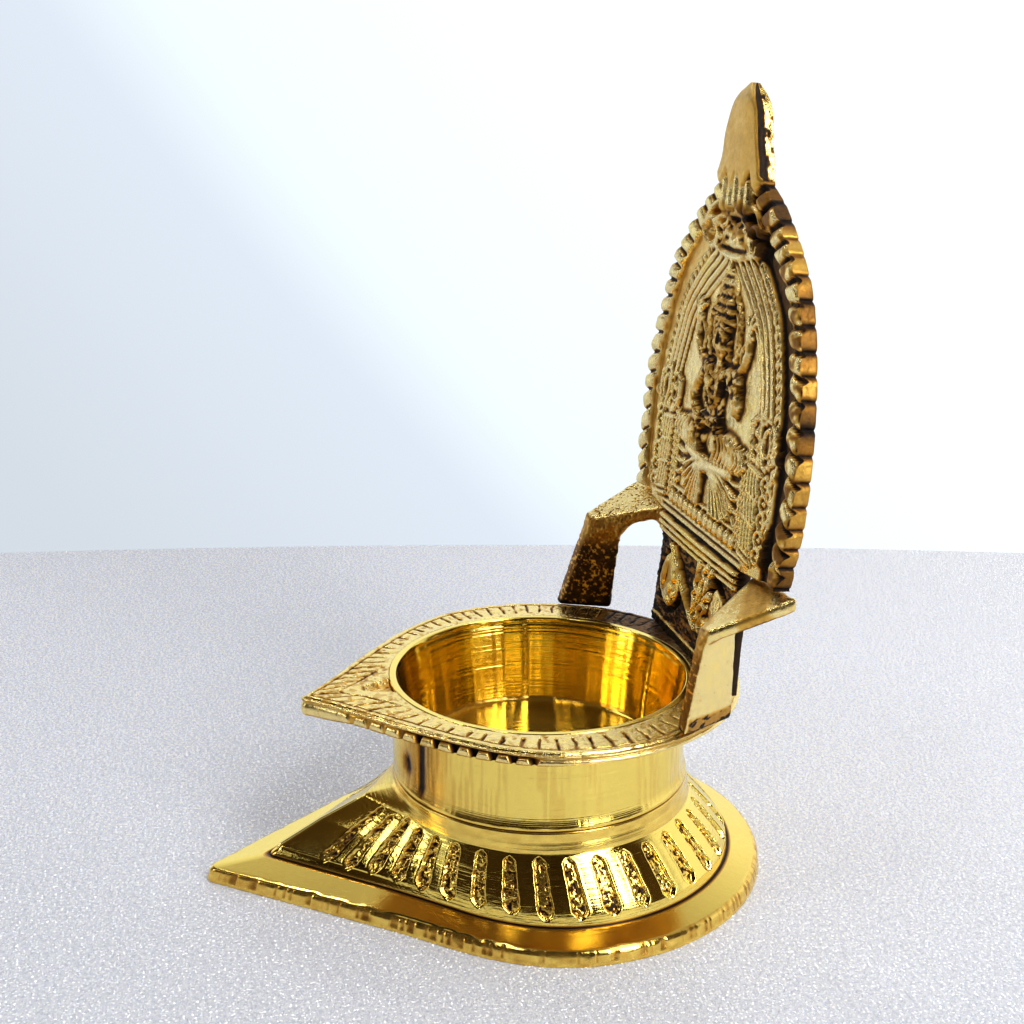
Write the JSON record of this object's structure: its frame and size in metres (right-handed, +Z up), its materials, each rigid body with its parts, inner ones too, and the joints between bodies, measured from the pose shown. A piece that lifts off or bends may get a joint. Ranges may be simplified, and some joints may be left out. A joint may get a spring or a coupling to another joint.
{
  "type": "kamakshi oil lamp",
  "caption": "Brass kamakshi oil lamp: turned oil bowl with a beaked rim on a fluted teardrop foot, and a relief plaque with a seated goddess under an arch.",
  "frame": {"origin": "middle of the underside of the foot's bounding box, on the table", "axes": "+Z up, -Y towards the beak of the bowl, +Y towards the plaque's back, +X to the lamp's left as it faces the viewer"},
  "size_m": [0.0756, 0.0978, 0.1325],
  "materials": {
    "satin_brass": "satin cast brass, dark grime in the recesses",
    "polished_brass": "turned and polished brass with fine lathe rings",
    "aged_brass": "as-cast brass, pitted, dark patina in the relief"
  },
  "bodies": {
    "root": {"foot": "polished_brass", "bowl": "polished_brass", "rim_plate": "satin_brass", "plaque": "aged_brass", "centre_panel": "aged_brass", "left_arm": "satin_brass", "right_arm": "satin_brass", "clamp_washer": "aged_brass", "clamp_nut": "aged_brass"}
  },
  "joints": []
}
